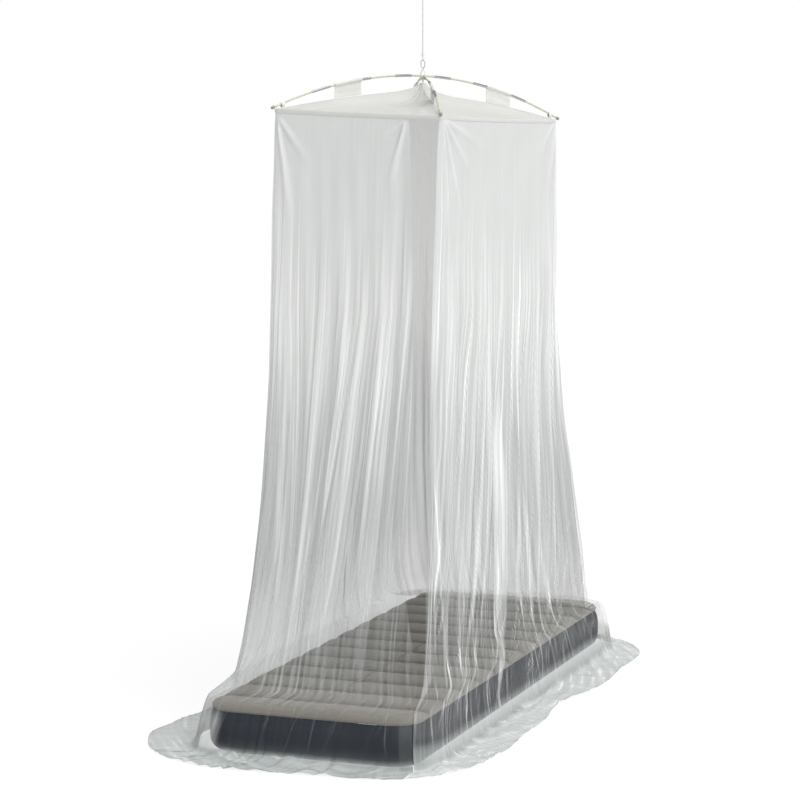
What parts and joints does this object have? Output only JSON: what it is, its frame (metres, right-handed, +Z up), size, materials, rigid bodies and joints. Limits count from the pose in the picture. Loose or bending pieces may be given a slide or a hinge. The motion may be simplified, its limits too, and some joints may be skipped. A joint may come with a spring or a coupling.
{
  "type": "mosquito net canopy with air mattress",
  "caption": "Tall box mosquito net with a slit entry, hung by a cord from crossed sectional poles, its flared skirt over an air mattress and on the floor.",
  "frame": {"origin": "centre of the ceiling hook's plate, on its mounting face; the floor is 2.225 m below", "axes": "+Z up to the ceiling, +Y along the mattress away from its near end, +X towards the side beside the entry"},
  "size_m": [1.0671, 2.1628, 2.225],
  "materials": {
    "net": "sheer white knitted net, matt",
    "roof_cloth": "thin off-white woven cloth, slightly see-through",
    "tape": "white woven tape, matt",
    "fibreglass": "pale olive rod, satin",
    "steel": "plain steel, satin",
    "dark_rubber": "black rubber, matt",
    "cord": "braided off-white cord, matt",
    "flocked_top": "beige flocking, soft and matt",
    "navy_side": "dark navy vinyl, satin"
  },
  "bodies": {
    "root": {"net_front": "net", "net_right": "net", "net_back": "net", "net_left": "net", "eave_binding": "tape", "roof_panel": "roof_cloth", "peak_tie": "tape", "pole_tab_right_near": "tape", "corner_loop_right_near": "tape", "pole_right_cap_near": "dark_rubber", "pole_tab_right_far": "tape", "corner_loop_right_far": "tape", "pole_right_cap_far": "dark_rubber", "pole_right_rod_1": "fibreglass", "pole_right_rod_2": "fibreglass", "pole_right_rod_3": "fibreglass", "pole_right_rod_4": "fibreglass", "pole_right_rod_5": "fibreglass", "pole_right_rod_6": "fibreglass", "pole_right_rod_7": "fibreglass", "pole_right_ferrule_1": "steel", "pole_right_ferrule_2": "steel", "pole_right_ferrule_3": "steel", "pole_right_ferrule_4": "steel", "pole_right_ferrule_5": "steel", "pole_right_ferrule_6": "steel", "pole_tab_left_near": "tape", "corner_loop_left_near": "tape", "pole_left_cap_near": "dark_rubber", "pole_tab_left_far": "tape", "corner_loop_left_far": "tape", "pole_left_cap_far": "dark_rubber", "pole_left_rod_1": "fibreglass", "pole_left_rod_2": "fibreglass", "pole_left_rod_3": "fibreglass", "pole_left_rod_4": "fibreglass", "pole_left_rod_5": "fibreglass", "pole_left_rod_6": "fibreglass", "pole_left_rod_7": "fibreglass", "pole_left_ferrule_1": "steel", "pole_left_ferrule_2": "steel", "pole_left_ferrule_3": "steel", "pole_left_ferrule_4": "steel", "pole_left_ferrule_5": "steel", "pole_left_ferrule_6": "steel", "mattress_base": "navy_side", "mattress_top": "flocked_top", "hanging_loop": "tape", "steel_ring": "steel", "cord_lower_eye": "cord", "hanging_cord": "cord", "cord_upper_eye": "cord", "ceiling_hook": "steel"}
  },
  "joints": []
}
